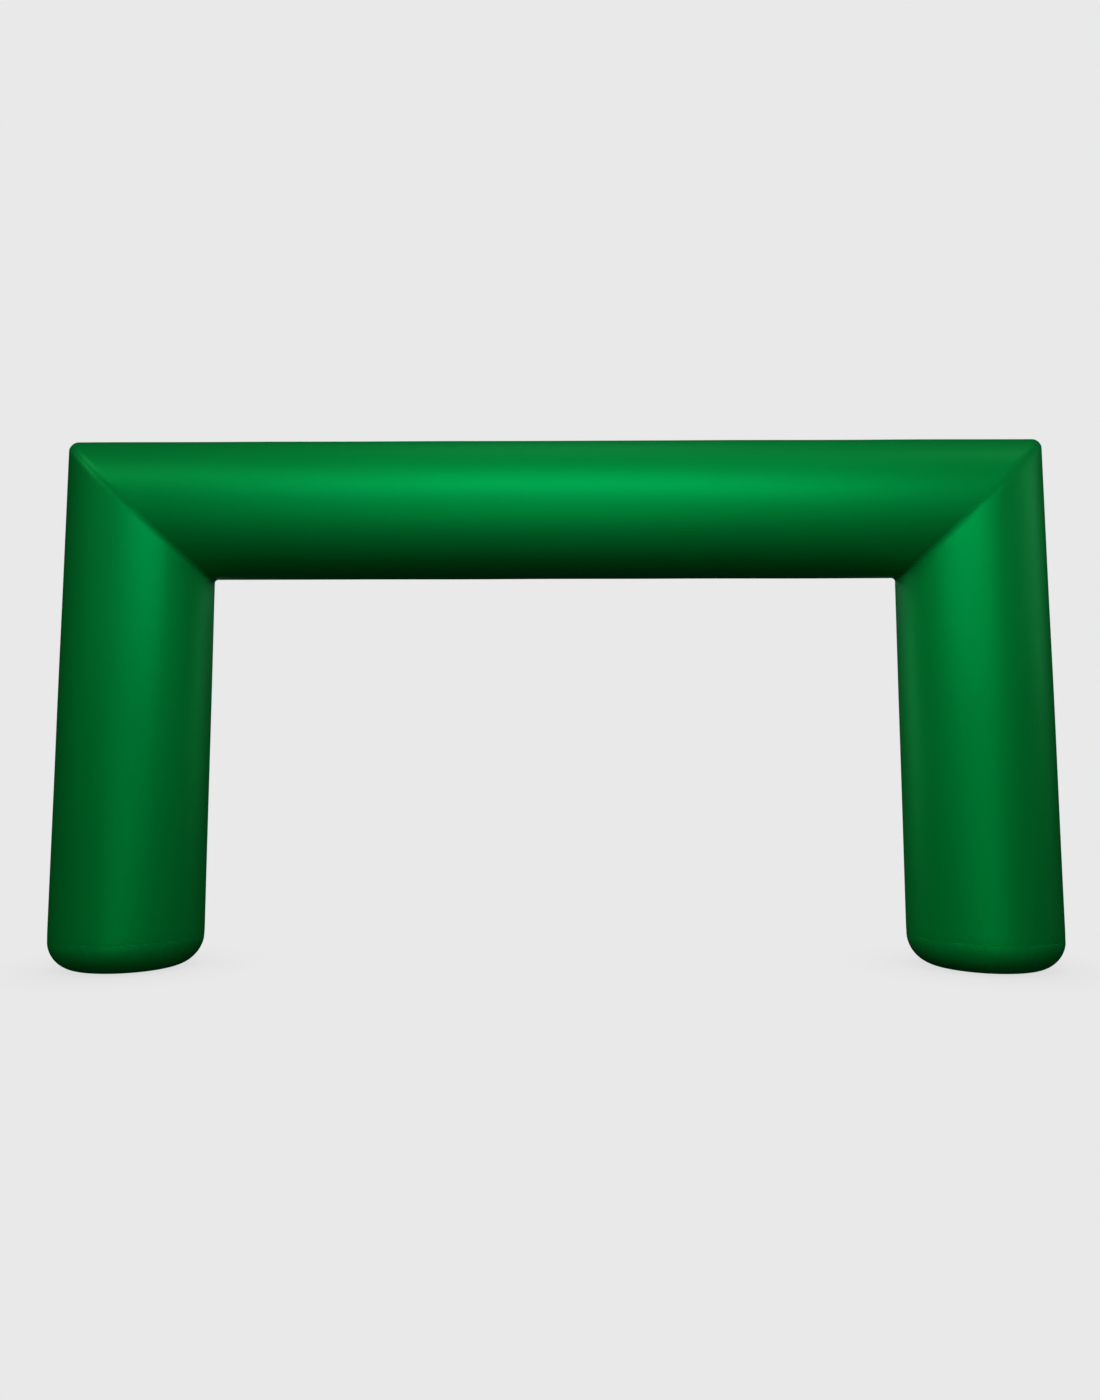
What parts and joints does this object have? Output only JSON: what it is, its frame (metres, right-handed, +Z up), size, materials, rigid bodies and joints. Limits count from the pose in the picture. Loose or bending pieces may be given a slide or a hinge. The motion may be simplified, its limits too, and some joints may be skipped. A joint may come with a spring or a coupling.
{
  "type": "inflatable arch",
  "caption": "Free-standing inflatable archway of green cloth: a level air-filled tube with mitred ends on upright tube legs with rounded, flat-bottomed feet.",
  "frame": {"origin": "on the floor, midway between the two feet and midway between front and back", "axes": "+X along the crossbar to the right leg, -Y the front, +Z up"},
  "size_m": [6.1, 0.886, 3.255],
  "materials": {
    "green_cloth": "satin coated polyester, drawn tight by the air inside"
  },
  "bodies": {
    "root": {"crossbar": "green_cloth", "left_leg": "green_cloth", "right_leg": "green_cloth", "left_base": "green_cloth", "right_base": "green_cloth"}
  },
  "joints": []
}
